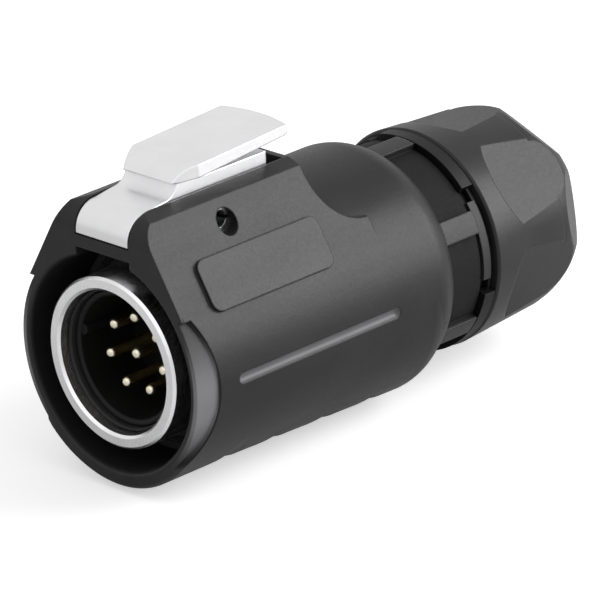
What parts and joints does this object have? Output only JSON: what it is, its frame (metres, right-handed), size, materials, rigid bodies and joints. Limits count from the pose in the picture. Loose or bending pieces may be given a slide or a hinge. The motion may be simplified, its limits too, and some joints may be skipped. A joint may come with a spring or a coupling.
{
  "type": "push-pull circular connector plug",
  "caption": "Round cable plug with a metal spigot and pin contacts, a sprung latch lever on top and a screwed cable gland at the rear.",
  "frame": {"origin": "on the plug's axis, at the front face of the metal spigot", "axes": "-X towards the receptacle, +X towards the cable, +Z towards the latch lever"},
  "size_m": [0.0793, 0.034, 0.0441],
  "materials": {
    "shell": "satin dark grey",
    "nut": "satin dark grey",
    "lever": "satin nickel",
    "spigot": "satin nickel",
    "steel": "bright",
    "brass": "nickel-plated",
    "contact": "gold-plated",
    "insert": "matte grey",
    "ring": "matte",
    "claw": "matte",
    "seal": "matte"
  },
  "bodies": {
    "plug": {"housing": "shell", "pivot_pin": "steel", "latch_spring": "steel", "spigot_sleeve": "spigot", "mouth_gasket": "seal", "lip_seal": "seal", "insert_skirt": "insert", "insert_core": "insert", "insert_back": "insert", "insert_ring_nut": "brass", "insert_o_ring": "seal", "contact_1": "contact", "contact_2": "contact", "contact_3": "contact", "contact_4": "contact", "contact_5": "contact", "contact_6": "contact", "contact_7": "contact", "contact_8": "contact", "neck_seal": "seal", "lock_ring": "ring", "stub_o_ring": "seal", "clamp_claw": "claw", "cable_grommet": "seal"},
    "lever": {"latch_lever": "lever"},
    "nut_carriage": {"thrust_washer": "steel"},
    "nut": {"gland_nut": "nut"}
  },
  "joints": [
    {"name": "latch_press", "type": "hinge", "parent": "plug", "child": "lever", "pos_m": [0.0134, 0, 0.0178], "axis": [0, 1, 0], "range_deg": [0, 11], "stiffness_Nm_per_rad": 0.4, "springref_deg": -8.59, "deforming": ["latch_spring"]},
    {"name": "nut_travel", "type": "slide", "parent": "plug", "child": "nut_carriage", "axis": [1, 0, 0], "range_m": [0, 0.006]},
    {"name": "nut_turn", "type": "hinge", "parent": "nut_carriage", "child": "nut", "pos_m": [0.07, 0, 0], "axis": [1, 0, 0], "range_deg": [0, 1440]}
  ],
  "couplings": [
    {"joint": "nut_travel", "follows": "nut_turn", "m_per_rad": 0.00023873}
  ]
}
